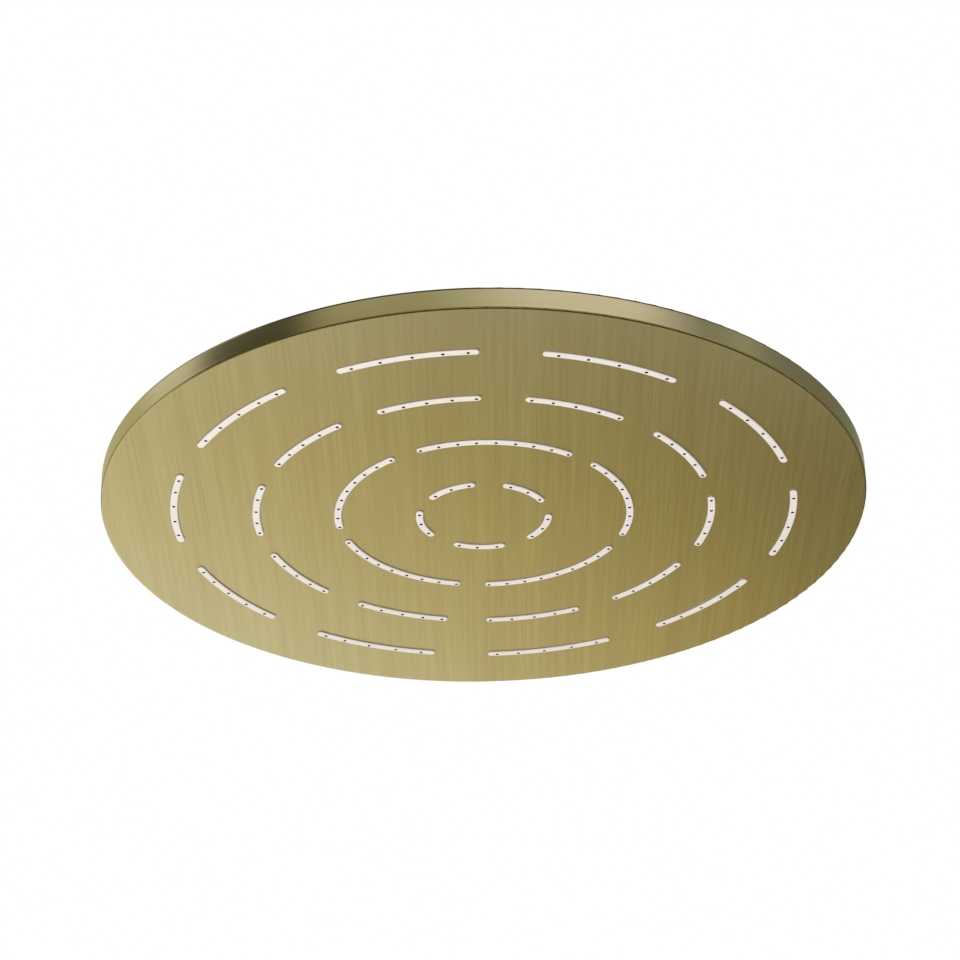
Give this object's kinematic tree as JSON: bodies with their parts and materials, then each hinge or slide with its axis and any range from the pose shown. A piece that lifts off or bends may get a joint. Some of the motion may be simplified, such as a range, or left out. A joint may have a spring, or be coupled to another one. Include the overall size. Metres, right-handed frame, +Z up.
{
  "type": "rain shower head",
  "caption": "Thin round rain shower head in brushed brass-gold metal, with concentric arc-shaped white silicone nozzle strips and a ball-jointed threaded inlet on top.",
  "frame": {"origin": "centre of the inlet's mouth, where the arm's thread enters", "axes": "+Z up along the inlet's axis, out of its mouth; the spray face looks along -Z; the picture is taken from -Y and below"},
  "size_m": [0.3, 0.3, 0.0606],
  "materials": {
    "brushed_gold_steel": "linear brushed, brass-gold coating",
    "white_silicone": "moulded, satin",
    "grey_plastic": "moulded, matt",
    "black_rubber": "moulded, matt",
    "plain_steel": "turned or woven, uncoated",
    "gold_screw_steel": "turned, brass-gold coating",
    "brushed_gold_brass": "turned and brushed, brass-gold coating",
    "seat_plastic": "turned, smooth"
  },
  "bodies": {
    "inlet": {"swivel_ball": "brushed_gold_brass", "filter_screen": "plain_steel", "filter_washer": "black_rubber"},
    "lower_seat_ring": {"lower_seat": "seat_plastic"},
    "upper_seat_ring": {"upper_seat": "seat_plastic"},
    "head": {"face_pan": "brushed_gold_steel", "back_cover": "brushed_gold_steel", "strip_r1_1": "white_silicone", "strip_r1_2": "white_silicone", "strip_r1_3": "white_silicone", "strip_r1_4": "white_silicone", "strip_r1_5": "white_silicone", "strip_r2_1": "white_silicone", "strip_r2_2": "white_silicone", "strip_r2_3": "white_silicone", "strip_r2_4": "white_silicone", "strip_r2_5": "white_silicone", "strip_r3_1": "white_silicone", "strip_r3_2": "white_silicone", "strip_r3_3": "white_silicone", "strip_r3_4": "white_silicone", "strip_r3_5": "white_silicone", "strip_r3_6": "white_silicone", "strip_r3_7": "white_silicone", "strip_r3_8": "white_silicone", "strip_r3_9": "white_silicone", "strip_r3_10": "white_silicone", "strip_r4_1": "white_silicone", "strip_r4_2": "white_silicone", "strip_r4_3": "white_silicone", "strip_r4_4": "white_silicone", "strip_r4_5": "white_silicone", "strip_r4_6": "white_silicone", "strip_r4_7": "white_silicone", "strip_r4_8": "white_silicone", "strip_r4_9": "white_silicone", "strip_r4_10": "white_silicone", "waterway_dish": "grey_plastic", "dish_gasket": "black_rubber", "sleeve_seals": "black_rubber", "inlet_gasket": "black_rubber", "cover_pillars": "plain_steel", "cover_screws": "gold_screw_steel", "inlet_boss": "brushed_gold_brass", "collar_nut": "brushed_gold_brass"}
  },
  "joints": [
    {"name": "tilt_front_back", "type": "hinge", "parent": "inlet", "child": "lower_seat_ring", "pos_m": [0, 0, -0.03403], "axis": [1, 0, 0], "range_deg": [-10, 10]},
    {"name": "tilt_side", "type": "hinge", "parent": "lower_seat_ring", "child": "upper_seat_ring", "pos_m": [0, 0, -0.03403], "axis": [0, 1, 0], "range_deg": [-10, 10]},
    {"name": "turn", "type": "hinge", "parent": "upper_seat_ring", "child": "head", "pos_m": [0, 0, -0.03403], "axis": [0, 0, 1], "continuous": true}
  ]
}
